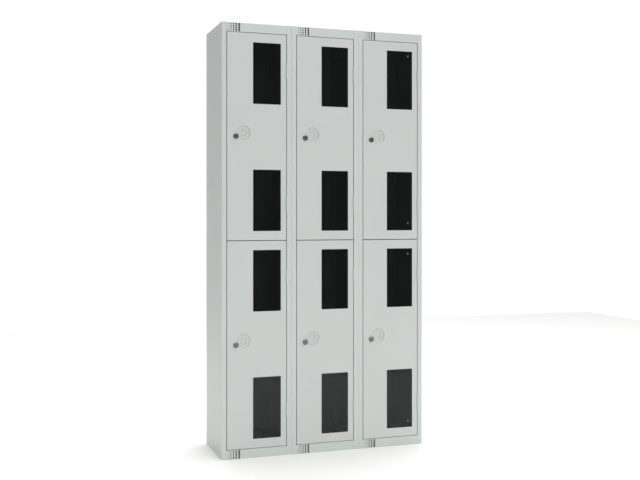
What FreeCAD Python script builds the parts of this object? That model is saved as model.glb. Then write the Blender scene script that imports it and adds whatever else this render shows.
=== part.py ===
import FreeCAD, Part
import Sketcher
import os
import re

# Nest of three steel lockers, two doors high. Each locker is a folded sheet-steel box on its own, and
# the three are bolted side by side. Millimetres, +Z up, front faces -Y, origin on the floor under the
# middle of the nest. A piece is drawn in its locker's or its door's own corner and then placed:
# x runs right from the left outer face, y back from the front face, z up.

lockers = (1, 2, 3)
tiers = ("lower", "upper")

sizes = {
    # one locker
    "locker_width": 300, "locker_depth": 300, "locker_height": 1800, "gauge": 1, "bend_radius": 0.4,
    "stile_width": 20.5, "stop_gap": 1.5, "stop_lip": 10, "rear_flange": 20, "foot_flange": 15,
    "header_height": 37.5, "plinth_height": 37.5, "floor_rise": 10, "tray_flange": 15,
    "nose_rise": 12.5, "nose_drop": 15, "wall_hole_radius": 4, "wall_hole_drop": 100,
    "wall_hole_spacing": 100,
    # square vent holes, graduated from small to large
    "vent_rows": 4, "vent_pitch": 8.6, "vent_start": 31,
    "vent_size_first": 3, "vent_size_growth": 1.05, "vent_spacing": 9, "vent_spacing_growth": 1.2,
    # doors
    "door_side_gap": 2.5, "door_end_gap": 2, "door_meeting_gap": 3, "door_thickness": 18,
    "door_return": 10,
    # windows
    "window_width": 120, "window_height": 255, "window_side_margin": 24, "window_end_margin": 38,
    "window_corner": 2, "pane_thickness": 3, "pane_overlap": 8, "pane_clearance": 1,
    "retainer_brim": 8, "retainer_reveal": 2,
    # round pressed recess beside the lock
    "recess_inset": 69, "recess_rise": 15, "recess_radius": 31, "recess_step_radius": 15.5,
    "recess_depth": 3.5, "recess_step_depth": 2.5,
    # cam lock
    "lock_inset": 37, "lock_radius": 8, "lock_rim_width": 3.5, "lock_rim": 4.5, "lock_bevel": 1.5,
    "lock_fit": 0.1, "lock_nut_wall": 1, "lock_nut_height": 4, "lock_nut_clearance": 0.6,
    "plug_radius": 6, "plug_fit": 0.05, "plug_proud": 0.5, "key_slot_width": 1.4,
    "key_slot_height": 8, "key_slot_depth": 10, "cam_clearance": 1.5, "cam_gap": 0.3,
    "cam_end_gap": 1.5, "cam_width": 14, "cam_gauge": 2,
    "cam_screw_radius": 2, "cam_screw_head": 3.5, "cam_screw_head_height": 2.5,
    "cam_screw_depth": 8, "cam_screw_fit": 0.05,
    # hinges
    "hinge_inset": 150, "hinge_face_gap": 0.1, "knuckle_length": 20, "knuckle_gap": 0.4,
    "barrel_radius": 2.5, "hinge_pin_radius": 1.3, "hinge_pin_fit": 0.05, "hinge_pin_head": 2,
    "hinge_pin_head_height": 0.8, "leaf_gauge": 1, "leaf_depth": 13, "leaf_relief": 0.6,
    # door buffers, coat hooks and joining bolts
    "buffer_radius": 3, "buffer_clearance": 0.3, "buffer_inset": 60,
    "hook_plate_width": 36, "hook_plate_depth": 16, "hook_plate_gauge": 1.5, "hook_wire_radius": 2.5,
    "hook_stem": 26, "hook_bend_radius": 11, "hook_tip_radius": 3.6,
    "bolt_radius": 3, "bolt_hole_clearance": 0.5, "bolt_length": 16, "bolt_head_across": 10,
    "bolt_head_height": 4, "bolt_nut_height": 5, "bolt_nut_fit": 0.05,
    "bolt_inset": 70,
}

# What follows from the driving sizes
derived = {
    "nest_width": f"{len(lockers)} * locker_width",
    "bend_outside": "bend_radius + gauge",
    "stop_face": "door_thickness + stop_gap",
    "jamb_depth": "stop_face + gauge",
    "floor_level": "plinth_height + floor_rise",
    "header_level": "locker_height - header_height",
    "nose_middle": "plinth_height + (header_level - plinth_height) / 2",
    "door_left": "stile_width + door_side_gap",
    "door_width": "locker_width - 2 * door_left",
    "door_height": "(header_level - plinth_height - 2 * door_end_gap - door_meeting_gap) / 2",
    "window_left": "door_width - window_side_margin - window_width",
    "pane_seat": "gauge + pane_thickness",
    "retainer_wall": "pane_overlap + pane_clearance + gauge",
    "lock_height": "door_height / 2",
    "recess_height": "lock_height + recess_rise",
    "lock_bore": "lock_radius + lock_fit",
    "lock_rim_radius": "lock_radius + lock_rim_width",
    "lock_nut_across": "2 * (lock_radius + lock_nut_wall)",
    "lock_seat_radius": "lock_nut_across / sqrt(3) + lock_nut_clearance + gauge",
    "plug_bore": "plug_radius + plug_fit",
    "cam_front": "jamb_depth + cam_clearance",
    "lock_reach": "cam_front - cam_gap",
    "cam_length": "lock_inset + door_side_gap - cam_end_gap",
    "barrel_length": "3 * knuckle_length + 2 * knuckle_gap",
    "hinge_line": "door_width + door_side_gap / 2",
    "hinge_stand_off": "barrel_radius + hinge_face_gap",
    "pin_bore": "hinge_pin_radius + hinge_pin_fit",
    "buffer_height": "stop_gap - buffer_clearance",
    "bolt_hole_radius": "bolt_radius + bolt_hole_clearance",
}

document = FreeCAD.newDocument("locker_nest")
sheet = document.addObject("Spreadsheet::Sheet", "Sizes")
for row, (alias, value) in enumerate(sizes.items(), start=1):
    sheet.set(f"A{row}", alias)
    sheet.set(f"B{row}", str(value))
    sheet.setAlias(f"B{row}", alias)
document.recompute()

nodes = {}


def formula(text):
    # A size written in the sheet's cells: derived names are opened up into the cells they come from
    def spell(match):
        word = match.group()
        if word in derived:
            return f"({formula(derived[word])})"
        return f"Sizes.{word}" if word in sizes else word

    return re.sub(r"[a-z][a-z_]+", spell, text)


def number(text):
    return float(sheet.evalExpression(formula(text)))


def bind(item, path, text):
    item.setExpression(path, formula(text))


def keep(node, piece, corner):
    # A finished piece gets its node's name and goes to the corner that it is drawn from
    piece.Label = node
    for axis, text in zip("xyz", corner):
        bind(piece, f"Placement.Base.{axis}", text)
    nodes[node] = piece
    return piece


def locker_corner(locker, height="0"):
    return (f"{locker - 1} * locker_width - nest_width / 2", "-locker_depth / 2", height)


def door_corner(locker, tier):
    height = {
        "lower": "plinth_height + door_end_gap",
        "upper": "plinth_height + door_end_gap + door_height + door_meeting_gap",
    }[tier]
    x, y, z = locker_corner(locker, height)
    return (f"{x} + door_left", y, z)


# Sketches and features. Every extrusion runs from its sketch towards +X, +Y or +Z.


def draw(body, name, plane, offset="0", outlines=(), circles=()):
    sketch = body.newObject("Sketcher::SketchObject", f"{body.Name}_{name}_sketch")
    origin = body.Origin.OriginFeatures
    sketch.AttachmentSupport = [(next(o for o in origin if o.Role == plane), "")]
    sketch.MapMode = "FlatFace"
    bind(sketch, "AttachmentOffset.Base.z", f"-({offset})" if plane == "XZ_Plane" else offset)

    def dimension(kind, geometry, point, text):
        place = () if kind == "Radius" else (-1, 1)
        spot = (geometry,) if kind == "Radius" else (geometry, point)
        index = sketch.addConstraint(Sketcher.Constraint(kind, *place, *spot, number(text)))
        bind(sketch, f"Constraints[{index}]", text)

    for corners in outlines:
        first = sketch.GeometryCount
        count = len(corners)
        spots = [FreeCAD.Vector(number(u), number(v), 0) for u, v in corners]
        for n in range(count):
            sketch.addGeometry(Part.LineSegment(spots[n], spots[(n + 1) % count]), False)
        for n, (u, v) in enumerate(corners):
            here, following = first + n, first + (n + 1) % count
            sketch.addConstraint(Sketcher.Constraint("Coincident", here, 2, following, 1))
            dimension("DistanceX", here, 1, u)
            dimension("DistanceY", here, 1, v)
    for u, v, radius in circles:
        centre = FreeCAD.Vector(number(u), number(v), 0)
        here = sketch.GeometryCount
        sketch.addGeometry(Part.Circle(centre, FreeCAD.Vector(0, 0, 1), number(radius)), False)
        dimension("Radius", here, 3, radius)
        dimension("DistanceX", here, 3, u)
        dimension("DistanceY", here, 3, v)
    return sketch


def extrude(kind, body, name, sketch, length):
    feature = body.newObject(f"PartDesign::{kind}", f"{body.Name}_{name}")
    feature.Profile = sketch
    behind = sketch.AttachmentSupport[0][0].Role == "XZ_Plane"
    feature.Reversed = behind if kind == "Pad" else not behind
    bind(feature, "Length", length)
    return feature


def pad(body, name, plane, offset, length, **shapes):
    return extrude("Pad", body, name, draw(body, name, plane, offset, **shapes), length)


def pocket(body, name, plane, offset, length, **shapes):
    return extrude("Pocket", body, name, draw(body, name, plane, offset, **shapes), length)


def box_outline(left, right, low, high):
    return ((left, low), (right, low), (right, high), (left, high))


def round_edges(body, name, along, spots, radius):
    # Fillet the straight edges that run along one axis through the given places in the plane across it
    document.recompute()
    base = body.Tip
    across = [n for n in range(3) if n != "XYZ".index(along)]
    wanted = [(number(u), number(v)) for u, v in spots]
    found = []
    for n, edge in enumerate(base.Shape.Edges, start=1):
        ends = [vertex.Point for vertex in edge.Vertexes]
        for u, v in wanted:
            if all(abs(p[across[0]] - u) + abs(p[across[1]] - v) < 1e-4 for p in ends):
                found.append(f"Edge{n}")
    fillet = body.newObject("PartDesign::Fillet", f"{body.Name}_{name}")
    fillet.Base = (base, found)
    bind(fillet, "Radius", radius)
    return fillet


# Primitives for the small turned and cut pieces


def cuboid(name, corner, extent):
    solid = document.addObject("Part::Box", name)
    for side, text in zip(("Length", "Width", "Height"), extent):
        bind(solid, side, text)
    for axis, text in zip("xyz", corner):
        bind(solid, f"Placement.Base.{axis}", text)
    return solid


turned = {
    "X": FreeCAD.Rotation(FreeCAD.Vector(0, 1, 0), 90),
    "Y": FreeCAD.Rotation(FreeCAD.Vector(1, 0, 0), -90),
    "Z": FreeCAD.Rotation(),
}


def rod(name, axis, start, radius, length):
    solid = document.addObject("Part::Cylinder", name)
    solid.Placement = FreeCAD.Placement(FreeCAD.Vector(), turned[axis])
    bind(solid, "Radius", radius)
    bind(solid, "Height", length)
    for letter, text in zip("xyz", start):
        bind(solid, f"Placement.Base.{letter}", text)
    return solid


def hexagon(name, axis, start, across_flats, length):
    solid = document.addObject("Part::Prism", name)
    solid.Polygon = 6
    solid.Placement = FreeCAD.Placement(FreeCAD.Vector(), turned[axis])
    bind(solid, "Circumradius", f"{across_flats} / sqrt(3)")
    bind(solid, "Height", length)
    for letter, text in zip("xyz", start):
        bind(solid, f"Placement.Base.{letter}", text)
    return solid


def join(name, solids):
    fuse = document.addObject("Part::MultiFuse", name)
    fuse.Shapes = solids
    return fuse


def take(name, base, tool):
    cut = document.addObject("Part::Cut", name)
    cut.Base, cut.Tool = base, tool
    return cut


def group(node, solids, corner=("0", "0", "0")):
    # Identical or matching pieces that stay separate solids in one node
    compound = document.addObject("Part::Compound", node)
    compound.Links = solids
    return keep(node, compound, corner)


# Folded sheet-steel carcass

vent_columns = 5
joining_places = [("locker_depth / 2", height)
                  for height in ("bolt_inset", "nose_middle - bolt_inset", "nose_middle + bolt_inset",
                                 "locker_height - bolt_inset")]


def side_panel(locker, side):
    body = document.addObject("PartDesign::Body", f"side_panel_{side}_{locker}")

    def x(distance):
        # Distance in from this panel's own outer face
        return distance if side == "left" else f"locker_width - ({distance})"

    def corners(*points):
        return tuple((x(u), v) for u, v in points)

    stop_end = "stile_width + stop_lip"
    profile = corners(
        ("0", "0"), ("stile_width", "0"), ("stile_width", "stop_face"), (stop_end, "stop_face"),
        (stop_end, "jamb_depth"), ("stile_width - gauge", "jamb_depth"),
        ("stile_width - gauge", "gauge"), ("gauge", "gauge"), ("gauge", "locker_depth - gauge"),
        ("rear_flange", "locker_depth - gauge"), ("rear_flange", "locker_depth"),
        ("0", "locker_depth"),
    )
    pad(body, "folds", "XY_Plane", "0", "locker_height", outlines=[profile])
    outer = corners(("0", "0"), ("stile_width", "0"), ("stile_width - gauge", "jamb_depth"),
                    ("0", "locker_depth"))
    inner = corners(("gauge", "gauge"), ("stile_width - gauge", "gauge"),
                    ("stile_width", "stop_face"), ("gauge", "locker_depth - gauge"))
    round_edges(body, "outer_bends", "Z", outer, "bend_outside")
    round_edges(body, "inner_bends", "Z", inner, "bend_radius")
    # The stop lip stops short where the plinth and header have lips of their own
    lip = [corners(("stile_width", "stop_face - bend_outside"), (stop_end, "stop_face - bend_outside"),
                   (stop_end, "jamb_depth"), ("stile_width", "jamb_depth"))]
    pocket(body, "lip_foot", "XY_Plane", "0", "floor_level", outlines=lip)
    pocket(body, "lip_head", "XY_Plane", "header_level - stop_lip", "header_height + stop_lip",
           outlines=lip)
    # The jamb is a gauge short at the top, where the roof sheet passes over it
    jamb = [corners(("bend_outside", "bend_outside"), ("stile_width", "bend_outside"),
                    ("stile_width", "jamb_depth"), ("bend_outside", "jamb_depth"))]
    pocket(body, "jamb_head", "XY_Plane", "locker_height - gauge", "gauge", outlines=jamb)
    foot = corners(("gauge / 2", "jamb_depth + gauge"), ("foot_flange", "jamb_depth + gauge"),
                   ("foot_flange", "locker_depth - 2 * gauge"),
                   ("gauge / 2", "locker_depth - 2 * gauge"))
    pad(body, "foot", "XY_Plane", "0", "gauge", outlines=[foot])
    # Joining holes, near both ends of each compartment; the nest's left end wall is plain
    if (side, locker) != ("left", lockers[0]):
        web = "0" if side == "left" else "locker_width - gauge"
        holes = [(depth, height, "bolt_hole_radius") for depth, height in joining_places]
        pocket(body, "bolt_holes", "YZ_Plane", web, "gauge", circles=holes)
    return keep(f"side_panel_{side}_{locker}", body, locker_corner(locker))


def vent_holes(body, low):
    # Columns of square holes through the front face, each column a little larger than the last
    along = "vent_start"
    for column in range(vent_columns):
        side = f"(vent_size_first + {column} * vent_size_growth)"
        if column:
            along = f"{along} + vent_spacing + {column - 1} * vent_spacing_growth"
        middle = f"{low} - {side} / 2"
        square = box_outline(f"{along} - {side} / 2", f"{along} + {side} / 2",
                             middle, f"{middle} + {side}")
        hole = pocket(body, f"vent_{column}", "XZ_Plane", "0", "gauge", outlines=[square])
        document.recompute()
        rows = body.newObject("PartDesign::LinearPattern", f"{body.Name}_vent_rows_{column}")
        rows.Originals = [hole]
        rows.Direction = (next(o for o in body.Origin.OriginFeatures if o.Role == "Z_Axis"), "")
        bind(rows, "Length", "(vent_rows - 1) * vent_pitch")
        bind(rows, "Occurrences", "vent_rows")
        body.Tip = rows


def tray_flanges(body, name, low, front):
    # Side and rear flanges turned down under a flat sheet
    inner, back = "locker_width - 2 * gauge", "locker_depth - 3 * gauge"
    around = (
        ("gauge", front), ("2 * gauge", front), ("2 * gauge", back), (inner, back), (inner, front),
        ("locker_width - gauge", front), ("locker_width - gauge", "locker_depth - 2 * gauge"),
        ("gauge", "locker_depth - 2 * gauge"),
    )
    pad(body, name, "XY_Plane", low, "tray_flange", outlines=[around])


def top_panel(locker):
    body = document.addObject("PartDesign::Body", f"top_panel_{locker}")
    back = "locker_depth - 2 * gauge"
    stop_foot = "header_level - stop_lip"
    profile = (
        ("0", "header_level"), ("stop_face", "header_level"), ("stop_face", stop_foot),
        ("jamb_depth", stop_foot), ("jamb_depth", "header_level + gauge"),
        ("gauge", "header_level + gauge"), ("gauge", "locker_height - gauge"),
        (back, "locker_height - gauge"), (back, "locker_height"), ("0", "locker_height"),
    )
    pad(body, "folds", "YZ_Plane", "stile_width", "locker_width - 2 * stile_width", outlines=[profile])
    round_edges(body, "outer_bends", "X", (
        ("0", "header_level"), ("0", "locker_height"), ("jamb_depth", "header_level + gauge"),
    ), "bend_outside")
    round_edges(body, "inner_bends", "X", (
        ("gauge", "header_level + gauge"), ("gauge", "locker_height - gauge"),
        ("stop_face", "header_level"),
    ), "bend_radius")
    roof = (
        ("gauge", "bend_outside"), ("locker_width - gauge", "bend_outside"),
        ("locker_width - gauge", back), ("gauge", back),
    )
    pad(body, "roof", "XY_Plane", "locker_height - gauge", "gauge", outlines=[roof])
    tray_flanges(body, "flanges", "locker_height - tray_flange", "jamb_depth + gauge")
    vent_holes(body, "header_level + (header_height - (vent_rows - 1) * vent_pitch) / 2")
    return keep(f"top_panel_{locker}", body, locker_corner(locker))


def base_panel(locker):
    body = document.addObject("PartDesign::Body", f"base_panel_{locker}")
    back = "locker_depth - 2 * gauge"
    profile = (
        ("0", "0"), ("rear_flange", "0"), ("rear_flange", "gauge"), ("gauge", "gauge"),
        ("gauge", "plinth_height - gauge"), ("jamb_depth", "plinth_height - gauge"),
        ("jamb_depth", "floor_level - gauge"), (back, "floor_level - gauge"), (back, "floor_level"),
        ("stop_face", "floor_level"), ("stop_face", "plinth_height"), ("0", "plinth_height"),
    )
    pad(body, "folds", "YZ_Plane", "stile_width", "locker_width - 2 * stile_width", outlines=[profile])
    round_edges(body, "outer_bends", "X", (
        ("0", "0"), ("0", "plinth_height"), ("jamb_depth", "plinth_height - gauge"),
        ("stop_face", "floor_level"),
    ), "bend_outside")
    round_edges(body, "inner_bends", "X", (
        ("gauge", "gauge"), ("gauge", "plinth_height - gauge"), ("stop_face", "plinth_height"),
        ("jamb_depth", "floor_level - gauge"),
    ), "bend_radius")
    floor = (
        ("gauge", "jamb_depth + gauge"), ("locker_width - gauge", "jamb_depth + gauge"),
        ("locker_width - gauge", back), ("gauge", back),
    )
    pad(body, "floor", "XY_Plane", "floor_level - gauge", "gauge", outlines=[floor])
    tray_flanges(body, "flanges", "floor_level - tray_flange", "jamb_depth + gauge")
    vent_holes(body, "(plinth_height - (vent_rows - 1) * vent_pitch) / 2")
    return keep(f"base_panel_{locker}", body, locker_corner(locker))


def divider_shelf(locker):
    # Shelf between the two compartments; its hemmed nose is the stop that both doors close on
    body = document.addObject("PartDesign::Body", f"divider_shelf_{locker}")
    top = "nose_middle + gauge / 2"
    under = "nose_middle - gauge / 2"
    nose_top = "nose_middle + nose_rise + gauge / 2"
    nose_foot = "nose_middle - nose_drop"
    hem = "jamb_depth + gauge"
    back = "locker_depth - 2 * gauge"
    profile = (
        ("stop_face", nose_foot), ("jamb_depth", nose_foot), ("jamb_depth", under), (back, under),
        (back, top), (hem, top), (hem, nose_top), ("stop_face", nose_top),
    )
    inset = "stile_width + stop_lip"
    pad(body, "folds", "YZ_Plane", inset, f"locker_width - 2 * ({inset})", outlines=[profile])
    round_edges(body, "hem", "X", (("stop_face", nose_top), (hem, nose_top)), "gauge * 0.9")
    sheet_outline = (
        ("gauge", hem), ("locker_width - gauge", hem), ("locker_width - gauge", back), ("gauge", back),
    )
    pad(body, "shelf", "XY_Plane", under, "gauge", outlines=[sheet_outline])
    tray_flanges(body, "flanges", f"{top} - tray_flange", hem)
    return keep(f"divider_shelf_{locker}", body, locker_corner(locker))


def back_panel(locker):
    body = document.addObject("PartDesign::Body", f"back_panel_{locker}")
    # It stands just inside the side panels' rear bends
    outline = box_outline("bend_outside", "locker_width - bend_outside", "0", "locker_height")
    sheet_front = "locker_depth - 2 * gauge"
    pad(body, "sheet", "XZ_Plane", sheet_front, "gauge", outlines=[outline])
    wall_holes = [(f"(locker_width {sign} wall_hole_spacing) / 2", "locker_height - wall_hole_drop",
                   "wall_hole_radius") for sign in "-+"]
    pocket(body, "wall_holes", "XZ_Plane", sheet_front, "gauge", circles=wall_holes)
    return keep(f"back_panel_{locker}", body, locker_corner(locker))


# Doors


def window_corners(margin):
    # Both windows of a door, grown all round by a margin
    left, right = f"window_left - ({margin})", f"window_left + window_width + {margin}"
    low = f"window_end_margin - ({margin})"
    high = f"window_end_margin + window_height + {margin}"
    upper_low = f"door_height - window_end_margin - window_height - ({margin})"
    upper_high = f"door_height - window_end_margin + {margin}"
    return (left, right, low, high), (left, right, upper_low, upper_high)


def door_skin(locker, tier):
    body = document.addObject("PartDesign::Body", f"door_skin_{locker}_{tier}")
    pad(body, "pan", "XZ_Plane", "0", "door_thickness",
        outlines=[box_outline("0", "door_width", "0", "door_height")])
    round_edges(body, "side_bends", "Z", (("0", "0"), ("door_width", "0")), "bend_outside")
    round_edges(body, "end_bends", "X", (("0", "0"), ("0", "door_height")), "bend_outside")
    pocket(body, "hollow", "XZ_Plane", "gauge", "door_thickness - 2 * gauge",
           outlines=[box_outline("gauge", "door_width - gauge", "gauge", "door_height - gauge")])
    pocket(body, "mouth", "XZ_Plane", "door_thickness - gauge", "gauge",
           outlines=[box_outline("door_return", "door_width - door_return",
                                 "door_return", "door_height - door_return")])
    windows = [box_outline(*window) for window in window_corners("0")]
    pocket(body, "windows", "XZ_Plane", "0", "gauge", outlines=windows)
    round_edges(body, "window_corners", "Y", [spot for window in windows for spot in window],
                "window_corner")
    # The pressed recess: the sheet bulges back as far as it is sunk at the front
    slope = "gauge * (sqrt(2) - 1)"
    step_foot = "(recess_step_radius - recess_step_depth)"
    depth = "(recess_depth + recess_step_depth)"
    bulge = (
        ("0", "gauge / 2"), (f"recess_radius + {slope}", "gauge / 2"),
        (f"recess_radius + {slope}", "gauge"),
        (f"recess_radius - recess_depth + {slope}", "gauge + recess_depth"),
        (f"recess_step_radius + {slope}", "gauge + recess_depth"),
        (f"{step_foot} + {slope}", f"gauge + {depth}"), ("0", f"gauge + {depth}"),
    )
    dish = (
        ("0", "0"), ("recess_radius", "0"), ("recess_radius - recess_depth", "recess_depth"),
        ("recess_step_radius", "recess_depth"), (step_foot, depth), ("0", depth),
    )
    for kind, name, outline in (("Revolution", "bulge", bulge), ("Groove", "dish", dish)):
        sketch = draw(body, name, "XY_Plane", "recess_height", outlines=[outline])
        bind(sketch, "AttachmentOffset.Base.x", "recess_inset")
        feature = body.newObject(f"PartDesign::{kind}", f"{body.Name}_{name}")
        feature.Profile = sketch
        feature.ReferenceAxis = (sketch, ["V_Axis"])
        feature.Angle = 360
    # The lock stands on a flat seat that stays level with the front where it meets the recess
    lock = ("lock_inset", "lock_height")
    pad(body, "lock_seat", "XZ_Plane", "0", "gauge + recess_depth", circles=[(*lock, "lock_seat_radius")])
    pocket(body, "nut_well", "XZ_Plane", "gauge", depth, circles=[(*lock, "lock_seat_radius - gauge")])
    pocket(body, "lock_hole", "XZ_Plane", "0", "gauge", circles=[(*lock, "lock_bore")])
    return keep(f"door_skin_{locker}_{tier}", body, door_corner(locker, tier))


def window_retainers(locker, tier):
    # Pressed frames that hold the clear panels against the back of the door's front sheet
    frames = []
    for n in range(2):
        body = document.addObject("PartDesign::Body", f"window_retainer_{locker}_{tier}_{n + 1}")
        brim = box_outline(*window_corners("retainer_wall + retainer_brim")[n])
        wall = box_outline(*window_corners("retainer_wall")[n])
        seat = box_outline(*window_corners("retainer_wall - gauge")[n])
        view = box_outline(*window_corners("retainer_reveal")[n])
        pad(body, "brim", "XZ_Plane", "gauge", "gauge", outlines=[brim])
        pad(body, "wall", "XZ_Plane", "gauge", "pane_thickness + gauge", outlines=[wall])
        round_edges(body, "corners", "Y", wall, "bend_outside")
        pocket(body, "seat", "XZ_Plane", "gauge", "pane_thickness", outlines=[seat])
        pocket(body, "view", "XZ_Plane", "pane_seat", "gauge", outlines=[view])
        frames.append(body)
    return group(f"window_retainers_{locker}_{tier}", frames, door_corner(locker, tier))


def vision_panels(locker, tier):
    panes = []
    for n, (left, right, low, high) in enumerate(window_corners("pane_overlap"), start=1):
        panes.append(cuboid(f"pane_{locker}_{tier}_{n}", (left, "gauge", low),
                            (f"{right} - ({left})", "pane_thickness", f"{high} - ({low})")))
    return group(f"vision_panels_{locker}_{tier}", panes, door_corner(locker, tier))


def lock_case(locker, tier):
    # Threaded housing through the door, and the thin nut that clamps it from behind
    tag = f"{locker}_{tier}"
    rim = rod(f"lock_rim_{tag}", "Y", ("lock_inset", "lock_bevel - lock_rim", "lock_height"),
              "lock_rim_radius", "lock_rim - lock_bevel")
    bevel = document.addObject("Part::Cone", f"lock_bevel_{tag}")
    bevel.Placement = FreeCAD.Placement(FreeCAD.Vector(), turned["Y"])
    for side, text in (("Radius1", "lock_rim_radius - lock_bevel"), ("Radius2", "lock_rim_radius"),
                       ("Height", "lock_bevel"), ("Placement.Base.x", "lock_inset"),
                       ("Placement.Base.y", "-lock_rim"), ("Placement.Base.z", "lock_height")):
        bind(bevel, side, text)
    shank = rod(f"lock_shank_{tag}", "Y", ("lock_inset", "-lock_rim", "lock_height"),
                "lock_radius", "lock_rim + lock_reach")
    bore = rod(f"lock_bore_{tag}", "Y", ("lock_inset", "-lock_rim", "lock_height"),
               "plug_bore", "lock_rim + lock_reach")
    housing = take(f"lock_housing_{tag}", join(f"lock_outside_{tag}", [rim, bevel, shank]), bore)
    blank = hexagon(f"lock_nut_blank_{tag}", "Y", ("lock_inset", "gauge", "lock_height"),
                    "lock_nut_across", "lock_nut_height")
    opening = rod(f"lock_nut_bore_{tag}", "Y", ("lock_inset", "gauge", "lock_height"),
                  "lock_bore", "lock_nut_height")
    nut = take(f"lock_nut_{tag}", blank, opening)
    return group(f"lock_case_{tag}", [housing, nut], door_corner(locker, tier))


def lock_cam(locker, tier):
    # Plug, cam and cam screw turn together. The cam hangs down when unlocked.
    tag = f"{locker}_{tier}"
    axis = ("lock_inset", "lock_height")
    plug = document.addObject("PartDesign::Body", f"lock_plug_{tag}")
    face = "-lock_rim - plug_proud"
    pad(plug, "barrel", "XZ_Plane", face, f"cam_front - ({face})", circles=[(*axis, "plug_radius")])
    slot = box_outline("lock_inset - key_slot_width / 2", "lock_inset + key_slot_width / 2",
                       "lock_height - key_slot_height / 2", "lock_height + key_slot_height / 2")
    pocket(plug, "key_slot", "XZ_Plane", face, "key_slot_depth", outlines=[slot])
    pocket(plug, "tapping", "XZ_Plane", "cam_front - cam_screw_depth", "cam_screw_depth",
           circles=[(*axis, "cam_screw_radius + cam_screw_fit")])

    cam = document.addObject("PartDesign::Body", f"cam_plate_{tag}")
    tongue = box_outline("lock_inset - cam_width / 2", "lock_inset + cam_width / 2",
                         "lock_height - cam_length", "lock_height + cam_width / 2")
    pad(cam, "tongue", "XZ_Plane", "cam_front", "cam_gauge", outlines=[tongue])
    round_edges(cam, "ends", "Y", tongue, "cam_width * 0.45")
    pocket(cam, "hole", "XZ_Plane", "cam_front", "cam_gauge",
           circles=[(*axis, "cam_screw_radius + cam_screw_fit")])

    rear = "cam_front + cam_gauge"
    head = rod(f"cam_screw_head_{tag}", "Y", ("lock_inset", rear, "lock_height"),
               "cam_screw_head", "cam_screw_head_height")
    shank = rod(f"cam_screw_shank_{tag}", "Y", ("lock_inset", f"{rear} - cam_screw_depth", "lock_height"),
                "cam_screw_radius", "cam_screw_depth")
    screw = join(f"cam_screw_{tag}", [head, shank])
    return group(f"lock_cam_{tag}", [plug, cam, screw], door_corner(locker, tier))


# Hinges. Each is drawn from the foot of its barrel, on the pin's line.

hinge_levels = ("hinge_inset - barrel_length / 2", "door_height - hinge_inset - barrel_length / 2")


def hinge_leaf(name, side, knuckles, corner):
    # side is -1 for the door's leaf and +1 for the frame's leaf
    outer = "door_side_gap / 2"
    left = f"-({outer})" if side < 0 else f"{outer} - leaf_gauge"
    plate = cuboid(f"{name}_plate", (left, "barrel_radius + leaf_relief", "0"),
                   ("leaf_gauge", "leaf_depth", "barrel_length"))
    solids = [plate]
    for n in knuckles:
        foot = f"{n} * (knuckle_length + knuckle_gap)"
        web_start = "(barrel_radius + hinge_pin_radius) / 2"
        solids.append(cuboid(f"{name}_web_{n}", (left, web_start, foot),
                             ("leaf_gauge", f"barrel_radius + 2 * leaf_relief - {web_start}",
                              "knuckle_length")))
        solids.append(rod(f"{name}_knuckle_{n}", "Z", ("0", "0", foot), "barrel_radius",
                          "knuckle_length"))
    bore = rod(f"{name}_bore", "Z", ("0", "0", "0"), "pin_bore", "barrel_length")
    leaf = take(name, join(f"{name}_solid", solids), bore)
    for axis, text in zip("xyz", corner):
        bind(leaf, f"Placement.Base.{axis}", text)
    return leaf


def hinge_foot(level, corner=("0", "0", "0")):
    x, y, z = corner
    return (f"{x} + hinge_line", f"{y} - hinge_stand_off", f"{z} + {level}")


def hinge_door_leaves(locker, tier):
    leaves = [hinge_leaf(f"door_leaf_{locker}_{tier}_{n}", -1, (1,), hinge_foot(level))
              for n, level in enumerate(hinge_levels, start=1)]
    return group(f"hinge_door_leaves_{locker}_{tier}", leaves, door_corner(locker, tier))


def hinge_frame_leaves():
    leaves = [hinge_leaf(f"frame_leaf_{locker}_{tier}_{n}", 1, (0, 2),
                         hinge_foot(level, door_corner(locker, tier)))
              for locker in lockers for tier in tiers
              for n, level in enumerate(hinge_levels, start=1)]
    return group("hinge_frame_leaves", leaves)


def hinge_pins():
    pins = []
    for locker in lockers:
        for tier in tiers:
            for n, level in enumerate(hinge_levels, start=1):
                tag = f"{locker}_{tier}_{n}"
                x, y, z = hinge_foot(level, door_corner(locker, tier))
                shank = rod(f"pin_shank_{tag}", "Z", (x, y, z), "hinge_pin_radius", "barrel_length")
                heads = [
                    rod(f"pin_head_{tag}", "Z", (x, y, f"{z} + barrel_length"),
                        "hinge_pin_head", "hinge_pin_head_height"),
                    rod(f"pin_foot_{tag}", "Z", (x, y, f"{z} - hinge_pin_head_height"),
                        "hinge_pin_head", "hinge_pin_head_height"),
                ]
                pins.append(join(f"hinge_pin_{tag}", [shank, *heads]))
    return group("hinge_pins", pins)


# Small fittings


def door_buffers():
    # Rubber dots on the stop lip, on each door's lock side
    dots = []
    for locker in lockers:
        for tier in tiers:
            x, y, z = door_corner(locker, tier)
            for n, level in enumerate(("buffer_inset", "door_height - buffer_inset"), start=1):
                spot = (f"{x} + buffer_radius - gauge", f"{y} + stop_face - buffer_height",
                        f"{z} + {level}")
                dots.append(rod(f"buffer_{locker}_{tier}_{n}", "Y", spot,
                                "buffer_radius", "buffer_height"))
    return group("door_buffers", dots)


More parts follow.
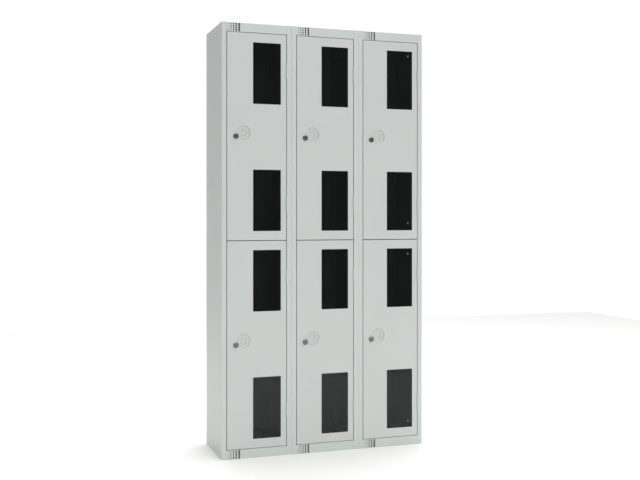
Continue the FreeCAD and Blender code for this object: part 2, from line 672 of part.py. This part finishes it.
def coat_hook(name, corner):
    # Double hook: a plate under the sheet above, a stem, and two upturned wire arms
    x, y, top = corner
    plate = cuboid(f"{name}_plate",
                   (f"{x} - hook_plate_width / 2", f"{y} - hook_plate_depth / 2",
                    f"{top} - hook_plate_gauge"),
                   ("hook_plate_width", "hook_plate_depth", "hook_plate_gauge"))
    bend_height = f"{top} - hook_plate_gauge - hook_stem"
    stem = rod(f"{name}_stem", "Z", (x, y, bend_height), "hook_wire_radius", "hook_stem")
    solids = [plate, stem]
    for side in (-1, 1):
        arm = document.addObject("Part::Torus", f"{name}_arm_{'left' if side < 0 else 'right'}")
        arm.Placement = FreeCAD.Placement(
            FreeCAD.Vector(), FreeCAD.Rotation(FreeCAD.Vector(1, 0, 0), -90))
        arm.Angle3 = 180
        bind(arm, "Radius1", "hook_bend_radius")
        bind(arm, "Radius2", "hook_wire_radius")
        tip = document.addObject("Part::Sphere", f"{arm.Name}_tip")
        bind(tip, "Radius", "hook_tip_radius")
        for axis, centre, end in zip("xyz", (f"{x} + {side} * hook_bend_radius", y, bend_height),
                                     (f"{x} + {side} * 2 * hook_bend_radius", y, bend_height)):
            bind(arm, f"Placement.Base.{axis}", centre)
            bind(tip, f"Placement.Base.{axis}", end)
        solids += [arm, tip]
    return join(name, solids)


def coat_hooks():
    ceilings = {"lower": "nose_middle - gauge / 2", "upper": "locker_height - gauge"}
    hooks = []
    for locker in lockers:
        for tier in tiers:
            x, y, z = locker_corner(locker, ceilings[tier])
            spot = (f"{x} + locker_width / 2", f"{y} + locker_depth / 2", z)
            hooks.append(coat_hook(f"coat_hook_{locker}_{tier}", spot))
    return group("coat_hooks", hooks)


def joining_fasteners():
    # Bolts through the side walls of neighbouring lockers, with a nut on each
    bolts, nuts = [], []
    for joint in lockers[:-1]:
        x, y, _ = locker_corner(joint + 1)
        for n, (depth, height) in enumerate(joining_places, start=1):
            tag = f"{joint}_{n}"
            seat = (f"{x} - gauge", f"{y} + {depth}", height)
            head = hexagon(f"bolt_head_{tag}", "X", (f"{x} - gauge - bolt_head_height", *seat[1:]),
                           "bolt_head_across", "bolt_head_height")
            shank = rod(f"bolt_shank_{tag}", "X", seat, "bolt_radius", "bolt_length")
            bolts.append(join(f"joining_bolt_{tag}", [head, shank]))
            nut_seat = (f"{x} + gauge", *seat[1:])
            blank = hexagon(f"nut_blank_{tag}", "X", nut_seat, "bolt_head_across", "bolt_nut_height")
            bore = rod(f"nut_bore_{tag}", "X", nut_seat, "bolt_radius + bolt_nut_fit",
                       "bolt_nut_height")
            nuts.append(take(f"joining_nut_{tag}", blank, bore))
    group("joining_bolts", bolts)
    group("joining_nuts", nuts)


for locker in lockers:
    for side in ("left", "right"):
        side_panel(locker, side)
    for carcass_piece in (back_panel, top_panel, base_panel, divider_shelf):
        carcass_piece(locker)
    for tier in tiers:
        for door_piece in (door_skin, window_retainers, vision_panels, hinge_door_leaves, lock_case,
                           lock_cam):
            door_piece(locker, tier)
hinge_frame_leaves()
hinge_pins()
door_buffers()
coat_hooks()
joining_fasteners()
document.recompute()

faults = [item.Name for item in document.Objects if {"Invalid", "Error"} & set(item.State)]
faults += [node for node, piece in nodes.items() if piece.Shape.isNull() or not piece.Shape.isValid()]
if faults:
    raise RuntimeError(f"failed pieces: {faults}")

os.makedirs("parts", exist_ok=True)
for node, piece in nodes.items():
    piece.Shape.exportStep(f"parts/{node}.step")
print(f"{len(nodes)} nodes written")
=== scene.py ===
import math

import bmesh
import bpy
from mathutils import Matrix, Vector


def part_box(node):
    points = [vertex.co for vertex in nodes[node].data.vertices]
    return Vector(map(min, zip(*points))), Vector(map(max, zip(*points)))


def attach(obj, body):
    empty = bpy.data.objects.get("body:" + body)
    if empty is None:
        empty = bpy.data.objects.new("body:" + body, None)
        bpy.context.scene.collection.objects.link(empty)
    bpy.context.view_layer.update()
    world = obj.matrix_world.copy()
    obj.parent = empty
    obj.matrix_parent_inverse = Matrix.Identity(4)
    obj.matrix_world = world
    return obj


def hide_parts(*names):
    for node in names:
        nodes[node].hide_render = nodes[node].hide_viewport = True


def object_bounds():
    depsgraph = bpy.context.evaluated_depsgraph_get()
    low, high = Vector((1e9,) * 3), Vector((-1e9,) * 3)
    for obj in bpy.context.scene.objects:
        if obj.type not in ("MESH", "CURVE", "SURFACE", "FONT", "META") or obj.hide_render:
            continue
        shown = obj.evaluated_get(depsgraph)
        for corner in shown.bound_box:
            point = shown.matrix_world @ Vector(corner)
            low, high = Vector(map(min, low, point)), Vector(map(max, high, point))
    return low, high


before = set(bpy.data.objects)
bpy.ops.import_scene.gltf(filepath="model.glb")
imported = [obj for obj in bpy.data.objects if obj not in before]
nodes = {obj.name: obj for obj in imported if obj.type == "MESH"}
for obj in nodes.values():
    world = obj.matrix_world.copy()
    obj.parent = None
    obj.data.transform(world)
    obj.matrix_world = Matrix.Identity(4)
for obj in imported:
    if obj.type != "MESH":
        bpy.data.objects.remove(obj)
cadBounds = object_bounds()
lockers = (1, 2, 3)
doorNames = [f"{locker}_{tier}" for locker in lockers for tier in ("lower", "upper")]
mm = 0.001


# camera, floor and light

cameraSetup = {
    "place": (-1.308, -3.935, 1.002),    # metres
    "turn": 18.74,           # degrees to the right of straight ahead, level
    "lens": 52.96,           # mm
    "sensorWidth": 36.0,
    "shiftUp": -0.0375,      # of the picture's width
}
floorSetup = {"size": 9.0, "colour": "#f5f5f4", "roughness": 0.9}
lightSetup = {               # metres and watts
    "key": {"place": (2.2, -8.0, 6.0), "size": 4.0, "power": 228.0},
    "overhead": {"place": (0.6, 1.0, 4.6), "size": 4.0, "power": 140.0},
}
skySetup = {                 # brightness from overhead, from all round and from the shaded side
    "colour": "#ffffff",
    "overhead": 1.02,
    "allRound": 0.74,
    "shaded": 0.22,
    "shadedSide": (-0.84, -0.54, 0.0),
    "shadeFade": (-0.5, 0.3),        # how far towards the shaded side the shade starts and is full
    "overheadFade": (0.3, 0.8),      # the same for the height where the overhead light takes over
}


def linearColour(hexText):
    # sRGB hex to the linear colour that shaders want
    def channel(text):
        value = int(text, 16) / 255
        return value / 12.92 if value <= 0.04045 else ((value + 0.055) / 1.055) ** 2.4

    return (*[channel(hexText[n:n + 2]) for n in (1, 3, 5)], 1.0)


def addNode(tree, kind, settings=None, sockets=None):
    # One node with its settings; a socket takes a value or a link from another node's output
    node = tree.nodes.new(kind)
    for name, value in (settings or {}).items():
        setattr(node, name, value)
    for name, value in (sockets or {}).items():
        if isinstance(value, bpy.types.NodeSocket):
            tree.links.new(value, node.inputs[name])
        else:
            node.inputs[name].default_value = value
    return node


def placeCamera(setup):
    data = bpy.data.cameras.new("camera")
    data.lens = setup["lens"]
    data.sensor_width = setup["sensorWidth"]
    data.shift_y = setup["shiftUp"]
    camera = bpy.data.objects.new("camera", data)
    camera.location = setup["place"]
    camera.rotation_euler = (math.radians(90), 0, -math.radians(setup["turn"]))
    bpy.context.scene.collection.objects.link(camera)
    bpy.context.scene.camera = camera


def placeLight(name, setup):
    data = bpy.data.lights.new(name, "AREA")
    data.size = setup["size"]
    data.energy = setup["power"]
    lamp = bpy.data.objects.new(name, data)
    lamp.location = setup["place"]
    middle = Vector((0, 0, cadBounds[1][2] / 2))
    lamp.rotation_euler = (middle - lamp.location).to_track_quat("-Z", "Y").to_euler()
    bpy.context.scene.collection.objects.link(lamp)


def makeSky(setup):
    # Lights from all round but is shaded at the front left: the panes stay clear and the left side
    # reads darker. The camera itself sees a plain white backdrop.
    world = bpy.data.worlds.new("studio")
    world.use_nodes = True
    bpy.context.scene.world = world
    tree = world.node_tree
    tree.nodes.clear()
    direction = addNode(tree, "ShaderNodeTexCoord").outputs["Generated"]
    toShade = addNode(tree, "ShaderNodeVectorMath", {"operation": "DOT_PRODUCT"},
                      {0: direction, 1: setup["shadedSide"]})
    shadeStart, shadeFull = setup["shadeFade"]
    around = addNode(tree, "ShaderNodeMapRange", {"interpolation_type": "SMOOTHSTEP"}, {
        "Value": toShade.outputs["Value"], "From Min": shadeStart, "From Max": shadeFull,
        "To Min": setup["allRound"], "To Max": setup["shaded"]})
    axes = addNode(tree, "ShaderNodeSeparateXYZ", None, {0: direction})
    overheadStart, overheadFull = setup["overheadFade"]
    height = addNode(tree, "ShaderNodeMapRange", {"interpolation_type": "SMOOTHSTEP"}, {
        "Value": axes.outputs["Z"], "From Min": overheadStart, "From Max": overheadFull})
    strength = addNode(tree, "ShaderNodeMix", {"data_type": "FLOAT"}, {
        "Factor": height.outputs["Result"], "A": around.outputs["Result"], "B": setup["overhead"]})
    light = addNode(tree, "ShaderNodeBackground", None, {
        "Color": linearColour(setup["colour"]), "Strength": strength.outputs["Result"]})
    backdrop = addNode(tree, "ShaderNodeBackground", None, {"Color": linearColour(setup["colour"])})
    seen = addNode(tree, "ShaderNodeLightPath").outputs["Is Camera Ray"]
    either = addNode(tree, "ShaderNodeMixShader", None, {
        0: seen, 1: light.outputs[0], 2: backdrop.outputs[0]})
    addNode(tree, "ShaderNodeOutputWorld", None, {"Surface": either.outputs[0]})


def makeFloor(setup):
    mesh = bpy.data.meshes.new("floor")
    half = setup["size"] / 2
    mesh.from_pydata([(-half, -half, 0), (half, -half, 0), (half, half, 0), (-half, half, 0)],
                     [], [(0, 1, 2, 3)])
    floor = bpy.data.objects.new("floor", mesh)
    bpy.context.scene.collection.objects.link(floor)
    material = bpy.data.materials.new("paleFloor")
    material.use_nodes = True
    shader = material.node_tree.nodes["Principled BSDF"]
    shader.inputs["Base Color"].default_value = linearColour(setup["colour"])
    shader.inputs["Roughness"].default_value = setup["roughness"]
    mesh.materials.append(material)


placeCamera(cameraSetup)
for lightName, lightChoice in lightSetup.items():
    placeLight(lightName, lightChoice)
makeSky(skySetup)
makeFloor(floorSetup)
bpy.context.scene.view_settings.view_transform = "Standard"
print("camera, floor and light placed")


# materials

def newMaterial(name):
    material = bpy.data.materials.new(name)
    material.use_nodes = True
    tree = material.node_tree
    return material, tree, tree.nodes["Principled BSDF"]


def patternScale(size):
    # A noise texture's scale for features of this many millimetres
    return 1.0 / (size * mm)


def toned(colour, factor):
    # The same colour lighter or darker
    return (*[min(1.0, factor * value) for value in colour[:3]], 1.0)


insideLimits = {             # mm
    "skin": 0.5,             # from an outer wall's face to a plane inside its sheet
    "foldMargin": 3.2,       # past the doors' ends, clear of the folds there
    "behindStops": 280.0,    # from the back to just behind the stop lips
    "behindFront": 1.2,      # from the front to just behind its sheet
    "beforeBack": 1.5,       # from the back to just before its sheet
}


def insideShadeMask(tree, place):
    # 1 on the faces that line a compartment or lie behind a header or plinth, where the paint is
    # darkened as painted shade, and 0 outside
    low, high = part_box("side_panel_left_1")
    half = (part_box("side_panel_left_2")[0].x - low.x) / 2
    header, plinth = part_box("door_skin_1_upper")[1].z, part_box("door_skin_1_lower")[0].z
    limits = {name: value * mm for name, value in insideLimits.items()}
    steps = (                # what each step is called, its sum, and the numbers or steps in it
        ("across", "WRAP", "X", half, -half),
        ("offMiddle", "ABSOLUTE", "across"),
        ("within", "LESS_THAN", "offMiddle", half - limits["skin"]),
        ("behindStops", "GREATER_THAN", "Y", high.y - limits["behindStops"]),
        ("behindFront", "GREATER_THAN", "Y", low.y + limits["behindFront"]),
        ("overHeader", "GREATER_THAN", "Z", header + limits["foldMargin"]),
        ("underPlinth", "LESS_THAN", "Z", plinth - limits["foldMargin"]),
        ("beforeBack", "LESS_THAN", "Y", high.y - limits["beforeBack"]),
        ("underRoof", "LESS_THAN", "Z", cadBounds[1][2] - limits["skin"]),
        ("endBoxes", "MAXIMUM", "overHeader", "underPlinth"),
        ("hollow", "MULTIPLY", "behindFront", "endBoxes"),
        ("inner", "MAXIMUM", "behindStops", "hollow"),
        ("compartmentFaces", "MULTIPLY", "within", "inner"),
        ("bare", "MULTIPLY", "compartmentFaces", "beforeBack"),
        ("mask", "MULTIPLY", "bare", "underRoof"),
    )
    axes = addNode(tree, "ShaderNodeSeparateXYZ", None, {0: place}).outputs
    found = {"X": axes["X"], "Y": axes["Y"], "Z": axes["Z"]}
    for name, operation, *values in steps:
        found[name] = addNode(tree, "ShaderNodeMath", {"operation": operation}, {
            n: found.get(value, value) for n, value in enumerate(values)}).outputs[0]
    return found["mask"]


powderCoat = {
    "frameColour": "#cbd2cf",
    "doorColour": "#cbcfcd",
    # painted shade: the dark grey that the faces inside a compartment and behind a header or plinth
    # take, for the shade in there
    "insideShadeColour": "#34373b",
    "roughness": 0.42,
    "roughnessSpread": 0.05,
    "cloudSize": 220.0,      # mm, slow changes of tone and gloss
    "toneSpread": 0.03,
    # mm between crests and mm high: the sheet, which is never dead flat, the coat's long ripple
    # and its orange peel
    "waves": ((140.0, 0.25), (18.0, 0.035), (3.0, 0.012)),
    "creaseShadeReach": 9.0,        # mm, how far the painted shade spreads out of a corner, crease or recess
    "creaseShadeDepth": 0.95,
    "creaseShadeColour": "#5f6360",
    "creaseShadeSamples": 8,
}


def makePowderCoat(name, colour, shadedInside):
    # Polyester powder coat, sprayed and baked on sheet steel: soft gloss with a fine orange peel,
    # and painted shade that darkens it in corners, creases and recesses where sheets meet. On panels
    # shaded inside, the faces inside a compartment and behind a header or plinth are painted dark as
    # painted shade.
    material, tree, shader = newMaterial(name)
    place = addNode(tree, "ShaderNodeTexCoord").outputs["Object"]
    cloud = addNode(tree, "ShaderNodeTexNoise", None, {
        "Vector": place, "Scale": patternScale(powderCoat["cloudSize"]), "Detail": 3.0})
    base, spread = linearColour(colour), powderCoat["toneSpread"]
    paint = addNode(tree, "ShaderNodeMix", {"data_type": "RGBA"}, {
        "Factor": cloud.outputs["Fac"], "A": toned(base, 1.0 - spread),
        "B": toned(base, 1.0 + spread)}).outputs["Result"]
    # Painted shade: the faces inside a compartment and behind a header or plinth take a dark grey
    if shadedInside:
        paint = addNode(tree, "ShaderNodeMix", {"data_type": "RGBA"}, {
            "Factor": insideShadeMask(tree, place), "A": paint,
            "B": linearColour(powderCoat["insideShadeColour"])}).outputs["Result"]
    # Painted shade: the paint turns towards a dark grey in corners, creases and recesses, the more the
    # nearer surfaces close the point in
    corner = addNode(tree, "ShaderNodeAmbientOcclusion",
                     {"samples": powderCoat["creaseShadeSamples"], "only_local": True},
                     {"Distance": powderCoat["creaseShadeReach"] * mm})
    creaseShade = addNode(tree, "ShaderNodeMapRange", None, {
        "Value": corner.outputs["AO"], "To Min": powderCoat["creaseShadeDepth"], "To Max": 0.0})
    paint = addNode(tree, "ShaderNodeMix", {"data_type": "RGBA"}, {
        "Factor": creaseShade.outputs["Result"], "A": paint,
        "B": linearColour(powderCoat["creaseShadeColour"])}).outputs["Result"]
    tree.links.new(paint, shader.inputs["Base Color"])
    middle, spread = powderCoat["roughness"], powderCoat["roughnessSpread"]
    gloss = addNode(tree, "ShaderNodeMapRange", None, {
        "Value": cloud.outputs["Fac"], "To Min": middle - spread, "To Max": middle + spread})
    tree.links.new(gloss.outputs["Result"], shader.inputs["Roughness"])
    normal = {}
    for size, height in powderCoat["waves"]:
        wave = addNode(tree, "ShaderNodeTexNoise", None, {
            "Vector": place, "Scale": patternScale(size), "Detail": 1.0})
        bump = addNode(tree, "ShaderNodeBump", None, {
            "Height": wave.outputs["Fac"], "Distance": height * mm, "Strength": 1.0, **normal})
        normal = {"Normal": bump.outputs["Normal"]}
    tree.links.new(normal["Normal"], shader.inputs["Normal"])
    return material


clearSheet = {
    "Base Color": linearColour("#eef5f3"),
    "Roughness": 0.03,
    "IOR": 1.45,
    "Transmission Weight": 1.0,
    "Specular Tint": linearColour("#b8b8b8"),
}


def makePolycarbonate():
    # Extruded clear polycarbonate sheet: clear, with a faint cool tint and a mirror-smooth face
    material, _, shader = newMaterial("clearPolycarbonate")
    for name, value in clearSheet.items():
        shader.inputs[name].default_value = value
    return material


metals = {                   # colour, roughness, mm between marks, and how the marks are stretched
    "nickelPlatedZinc": ("#8b8e8f", 0.24, 0.6, (1.0, 6.0, 1.0)),     # round the turned lock
    "zincPlatedSteel": ("#a9aba8", 0.34, 1.2, (1.0, 1.0, 0.2)),      # up and down
    "chromePlatedWire": ("#b9bab8", 0.16, 1.5, (1.0, 1.0, 1.0)),
    "aluminiumRivet": ("#c9cbcb", 0.3, 1.0, (1.0, 1.0, 1.0)),
}
metalGrain = {
    "markTone": 0.8,         # a mark's colour as a share of the metal's own
    "smoother": 0.06,        # off the roughness where there are fewest marks
    "rougher": 0.08,         # on the roughness where there are most
    "markDepth": 0.01,       # mm
    "strength": 0.6,
}


def makeMetal(name):
    # Plated, drawn or headed metal: a clear shine, broken up by fine marks from the making
    colour, roughness, grain, stretch = metals[name]
    material, tree, shader = newMaterial(name)
    place = addNode(tree, "ShaderNodeTexCoord").outputs["Object"]
    turned = addNode(tree, "ShaderNodeMapping", None, {"Vector": place, "Scale": stretch})
    marks = addNode(tree, "ShaderNodeTexNoise", None, {
        "Vector": turned.outputs["Vector"], "Scale": patternScale(grain), "Detail": 4.0})
    base = linearColour(colour)
    tone = addNode(tree, "ShaderNodeMix", {"data_type": "RGBA"}, {
        "Factor": marks.outputs["Fac"], "A": toned(base, metalGrain["markTone"]), "B": base})
    tree.links.new(tone.outputs["Result"], shader.inputs["Base Color"])
    gloss = addNode(tree, "ShaderNodeMapRange", None, {
        "Value": marks.outputs["Fac"], "To Min": roughness - metalGrain["smoother"],
        "To Max": roughness + metalGrain["rougher"]})
    tree.links.new(gloss.outputs["Result"], shader.inputs["Roughness"])
    bump = addNode(tree, "ShaderNodeBump", None, {
        "Height": marks.outputs["Fac"], "Distance": metalGrain["markDepth"] * mm,
        "Strength": metalGrain["strength"]})
    tree.links.new(bump.outputs["Normal"], shader.inputs["Normal"])
    shader.inputs["Metallic"].default_value = 1.0
    return material


bufferRubber = {"colour": "#161616", "bloomColour": "#2c2c2d", "bloomSize": 2.0, "roughness": 0.75}


def makeRubber():
    # Moulded nitrile rubber: matt black with a faint grey bloom in patches of 2 mm
    material, tree, shader = newMaterial("mouldedRubber")
    place = addNode(tree, "ShaderNodeTexCoord").outputs["Object"]
    bloom = addNode(tree, "ShaderNodeTexNoise", None, {
        "Vector": place, "Scale": patternScale(bufferRubber["bloomSize"]), "Detail": 3.0})
    tone = addNode(tree, "ShaderNodeMix", {"data_type": "RGBA"}, {
        "Factor": bloom.outputs["Fac"], "A": linearColour(bufferRubber["colour"]),
        "B": linearColour(bufferRubber["bloomColour"])})
    tree.links.new(tone.outputs["Result"], shader.inputs["Base Color"])
    shader.inputs["Roughness"].default_value = bufferRubber["roughness"]
    return material


framePaint = makePowderCoat("powderCoatFrame", powderCoat["frameColour"], shadedInside=True)
doorPaint = makePowderCoat("powderCoatDoor", powderCoat["doorColour"], shadedInside=False)
polycarbonate = makePolycarbonate()
lockMetal = makeMetal("nickelPlatedZinc")
zincPlate = makeMetal("zincPlatedSteel")
hookMetal = makeMetal("chromePlatedWire")
rivetMetal = makeMetal("aluminiumRivet")
rubber = makeRubber()
print("materials made")


def paintNode(name, material):
    node = nodes[name]
    node.data.materials.clear()
    node.data.materials.append(material)


for locker in lockers:
    for piece in ("side_panel_left", "side_panel_right", "back_panel", "top_panel", "base_panel",
                  "divider_shelf"):
        paintNode(f"{piece}_{locker}", framePaint)
for name, material in (("door_buffers", rubber), ("joining_bolts", zincPlate),
                       ("joining_nuts", zincPlate)):
    paintNode(name, material)
for door in doorNames:
    paintNode(f"window_retainers_{door}", doorPaint)
    paintNode(f"vision_panels_{door}", polycarbonate)
print("CAD nodes painted")


# smoothed copies of the round and pressed pieces

smoothing = {
    "seam": 0.01,            # mm, closer points are one point
    "flatAngle": 0.5,        # degrees, faces that meet at less are one flat face
    "foldAngle": 32.0,       # degrees, from here on an edge stays sharp
    "weight": 80,            # percent, how far the larger faces lead the shading
}
fittings = {
    "softEdge": 0.25,        # mm, broken edges of the small turned and stamped fittings
    "edgeAngle": 40.0,       # degrees, only sharper edges are broken
    "steps": 2,
    "camStack": 4.5,         # mm, the cam and its screw's head behind the plug
}


def weldedMesh(name, source):
    # A node's mesh as one closed skin: its doubles merged and its flat faces freed of inner edges
    work = bmesh.new()
    work.from_mesh(source)
    bmesh.ops.remove_doubles(work, verts=work.verts, dist=smoothing["seam"] * mm)
    bmesh.ops.dissolve_limit(work, angle_limit=math.radians(smoothing["flatAngle"]),
                             verts=work.verts, edges=work.edges, delimit={"NORMAL"})
    for face in work.faces:
        face.smooth = True
    for edge in work.edges:
        edge.smooth = edge.calc_face_angle(math.pi) < math.radians(smoothing["foldAngle"])
    mesh = bpy.data.meshes.new(name)
    work.to_mesh(mesh)
    work.free()
    return mesh


def smoothPiece(name, node, body, material, softEdge=0.0):
    # Stands for a CAD node, with smooth shading and, on a fitting, lightly broken edges
    piece = bpy.data.objects.new(name, weldedMesh(name, nodes[node].data))
    bpy.context.scene.collection.objects.link(piece)
    piece.data.materials.append(material)
    if softEdge:
        bevel = piece.modifiers.new("softEdges", "BEVEL")
        bevel.width = softEdge * mm
        bevel.segments = fittings["steps"]
        bevel.limit_method = "ANGLE"
        bevel.angle_limit = math.radians(fittings["edgeAngle"])
    normals = piece.modifiers.new("evenNormals", "WEIGHTED_NORMAL")
    normals.weight = smoothing["weight"]
    normals.keep_sharp = True
    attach(piece, body)
    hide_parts(node)
    return piece


for door in doorNames:
    smoothPiece(f"doorPanel_{door}", f"door_skin_{door}", f"door_{door}", doorPaint)
    smoothPiece(f"doorHinges_{door}", f"hinge_door_leaves_{door}", f"door_{door}",
                doorPaint, fittings["softEdge"])
    smoothPiece(f"lockHousing_{door}", f"lock_case_{door}", f"door_{door}",
                lockMetal, fittings["softEdge"])
    plug = smoothPiece(f"lockPlug_{door}", f"lock_cam_{door}", f"lock_cam_{door}",
                       zincPlate, fittings["softEdge"])
    # The plug is nickel plated as its housing is; the cam and its screw are zinc plated
    plug.data.materials.append(lockMetal)
    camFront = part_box(f"lock_cam_{door}")[1].y - fittings["camStack"] * mm
    for face in plug.data.polygons:
        face.material_index = int(face.center.y < camFront)
smoothPiece("frameHinges", "hinge_frame_leaves", "carcass", framePaint,
            fittings["softEdge"])
smoothPiece("hingePins", "hinge_pins", "carcass", zincPlate, fittings["softEdge"])
smoothPiece("coatHooks", "coat_hooks", "carcass", hookMetal, fittings["softEdge"])
print("pressed panels and fittings smoothed")


# rivets, set out by Geometry Nodes along rows and closed loops

rivetSetup = {               # named as the tree's inputs are
    "Spacing": 62.0 * mm,
    "Head Radius": 3.3 * mm,
    "Head Height": 1.1 * mm,
    "Bore Share": 0.28,      # of the head's radius, where the mandrel broke off
    "Segments": 12,
}
rivetSection = {
    "corners": 8,
    "coreOverlap": 1.25,     # times the bore's radius, so that the core runs into the ring
}
rivetRows = {
    "brimMargin": 14.0,      # mm out from a window's edge, the middle of the retainer's brim
    "brimBack": 2.0,         # mm from the door's face to the back of that brim
    "windowHeight": 255.0,
    "paneOverlap": 8.0,      # mm that a pane reaches past its window's edge
    "backHeight": 0.85,      # mm, the flatter heads outside on the back
    "backSpacing": 56.0,
    "backInset": 38.0,       # mm from a locker's outer wall to the row's first rivet
    "flangeHalf": 7.5,       # mm, half the turned-down flange that a row goes through
}


def makeRivetTree():
    # A ring with a low core in it, the shape of a blind rivet's head, set out along the rows
    tree = bpy.data.node_groups.new("rivetRow", "GeometryNodeTree")
    wires = {}
    for label, kind in (("Rows", "NodeSocketGeometry"), ("Spacing", "NodeSocketFloat"),
                        ("Head Radius", "NodeSocketFloat"), ("Head Height", "NodeSocketFloat"),
                        ("Bore Share", "NodeSocketFloat"), ("Segments", "NodeSocketInt"),
                        ("Turn", "NodeSocketVector"), ("Finish", "NodeSocketMaterial")):
        wires[label] = tree.interface.new_socket(label, in_out="INPUT", socket_type=kind).identifier
    tree.interface.new_socket("Rivets", in_out="OUTPUT", socket_type="NodeSocketGeometry")
    given = addNode(tree, "NodeGroupInput").outputs
    found = {label: given[label] for label in ("Head Radius", "Head Height", "Bore Share")}
    for name, operation, *values in (
            ("bore", "MULTIPLY", "Head Radius", "Bore Share"),
            ("wall", "SUBTRACT", "Head Radius", "bore"),
            ("tube", "DIVIDE", "wall", 2.0),
            ("ring", "ADD", "bore", "tube"),
            ("flatness", "DIVIDE", "Head Height", "tube"),
            ("core", "MULTIPLY", "bore", rivetSection["coreOverlap"])):
        found[name] = addNode(tree, "ShaderNodeMath", {"operation": operation}, {
            n: found.get(value, value) for n, value in enumerate(values)}).outputs[0]
    ring = addNode(tree, "GeometryNodeCurvePrimitiveCircle", None, {
        "Resolution": given["Segments"], "Radius": found["ring"]})
    section = addNode(tree, "GeometryNodeCurvePrimitiveCircle", None, {
        "Resolution": rivetSection["corners"], "Radius": found["tube"]})
    dome = addNode(tree, "GeometryNodeCurveToMesh", None, {
        "Curve": ring.outputs["Curve"], "Profile Curve": section.outputs["Curve"]})
    squash = addNode(tree, "ShaderNodeCombineXYZ", None, {
        "X": 1.0, "Y": 1.0, "Z": found["flatness"]})
    flat = addNode(tree, "GeometryNodeTransform", None, {
        "Geometry": dome.outputs["Mesh"], "Scale": squash.outputs["Vector"]})
    core = addNode(tree, "GeometryNodeMeshCylinder", None, {
        "Vertices": rivetSection["corners"], "Radius": found["core"],
        "Depth": given["Head Height"]})
    head = addNode(tree, "GeometryNodeJoinGeometry")
    for part in (flat.outputs["Geometry"], core.outputs["Mesh"]):
        tree.links.new(part, head.inputs["Geometry"])
    path = addNode(tree, "GeometryNodeMeshToCurve", None, {"Mesh": given["Rows"]})
    spots = addNode(tree, "GeometryNodeResampleCurve", {"mode": "LENGTH"}, {
        "Curve": path.outputs["Curve"], "Length": given["Spacing"]})
    turned = addNode(tree, "FunctionNodeEulerToRotation", None, {"Euler": given["Turn"]})
    placed = addNode(tree, "GeometryNodeInstanceOnPoints", None, {
        "Points": spots.outputs["Curve"], "Instance": head.outputs["Geometry"],
        "Rotation": turned.outputs["Rotation"]})
    real = addNode(tree, "GeometryNodeRealizeInstances", None, {
        "Geometry": placed.outputs["Instances"]})
    rounded = addNode(tree, "GeometryNodeSetShadeSmooth", None, {
        "Geometry": real.outputs["Geometry"], "Shade Smooth": True})
    finished = addNode(tree, "GeometryNodeSetMaterial", None, {
        "Geometry": rounded.outputs["Geometry"], "Material": given["Finish"]})
    addNode(tree, "NodeGroupOutput", None, {"Rivets": finished.outputs["Geometry"]})
    return tree, wires


rivetTree, rivetWires = makeRivetTree()


def setRivets(name, points, edges, body, slot, material, changes=None):
    # The rows as a wire mesh, rivets along them, and the result as plain mesh
    rows = bpy.data.meshes.new(f"{name}Rows")
    rows.from_pydata(points, edges, [])
    maker = bpy.data.objects.new(f"{name}Maker", rows)
    bpy.context.scene.collection.objects.link(maker)
    modifier = maker.modifiers.new("rivets", "NODES")
    modifier.node_group = rivetTree
    choices = {**rivetSetup, **(changes or {}),
               "Turn": (math.radians(90), 0.0, 0.0), "Finish": material}
    for label, value in choices.items():
        modifier[rivetWires[label]] = value
    bpy.context.view_layer.update()
    ready = maker.evaluated_get(bpy.context.evaluated_depsgraph_get())
    mesh = bpy.data.meshes.new_from_object(ready)
    mesh.name = name
    bpy.data.objects.remove(maker)
    piece = bpy.data.objects.new(name, mesh)
    bpy.context.scene.collection.objects.link(piece)
    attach(piece, body)


def brimLoops(door):
    # A closed loop round each window, in the middle of its retainer's brim
    low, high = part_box(f"vision_panels_{door}")
    paneTall = (rivetRows["windowHeight"] + 2 * rivetRows["paneOverlap"]) * mm
    out = (rivetRows["brimMargin"] - rivetRows["paneOverlap"]) * mm
    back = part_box(f"door_skin_{door}")[0].y + rivetRows["brimBack"] * mm
    points, edges = [], []
    for foot, top in ((low.z, low.z + paneTall), (high.z - paneTall, high.z)):
        start = len(points)
        points += [(low.x - out, back, foot - out), (high.x + out, back, foot - out),
                   (high.x + out, back, top + out), (low.x - out, back, top + out)]
        edges += [(start + n, start + (n + 1) % 4) for n in range(4)]
    return points, edges


for door in doorNames:
    setRivets(f"paneRivets_{door}", *brimLoops(door), f"door_{door}", "zinc_steel", rivetMetal)
for locker in lockers:
    low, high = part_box(f"back_panel_{locker}")
    inset = rivetRows["backInset"] * mm
    lowerDoor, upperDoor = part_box(f"door_skin_{locker}_lower"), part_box(f"door_skin_{locker}_upper")
    shelfTop = (lowerDoor[1].z + upperDoor[0].z) / 2
    points, edges = [], []
    for sheetTop in (high.z, shelfTop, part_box(f"base_panel_{locker}")[1].z):
        level = sheetTop - rivetRows["flangeHalf"] * mm
        points += [(low.x + inset, high.y, level), (high.x - inset, high.y, level)]
        edges.append((len(points) - 2, len(points) - 1))
    setRivets(f"backRivets_{locker}", points, edges, "carcass", "carcass_paint", framePaint, {
        "Spacing": rivetRows["backSpacing"] * mm, "Head Height": rivetRows["backHeight"] * mm})
print("rivets set")
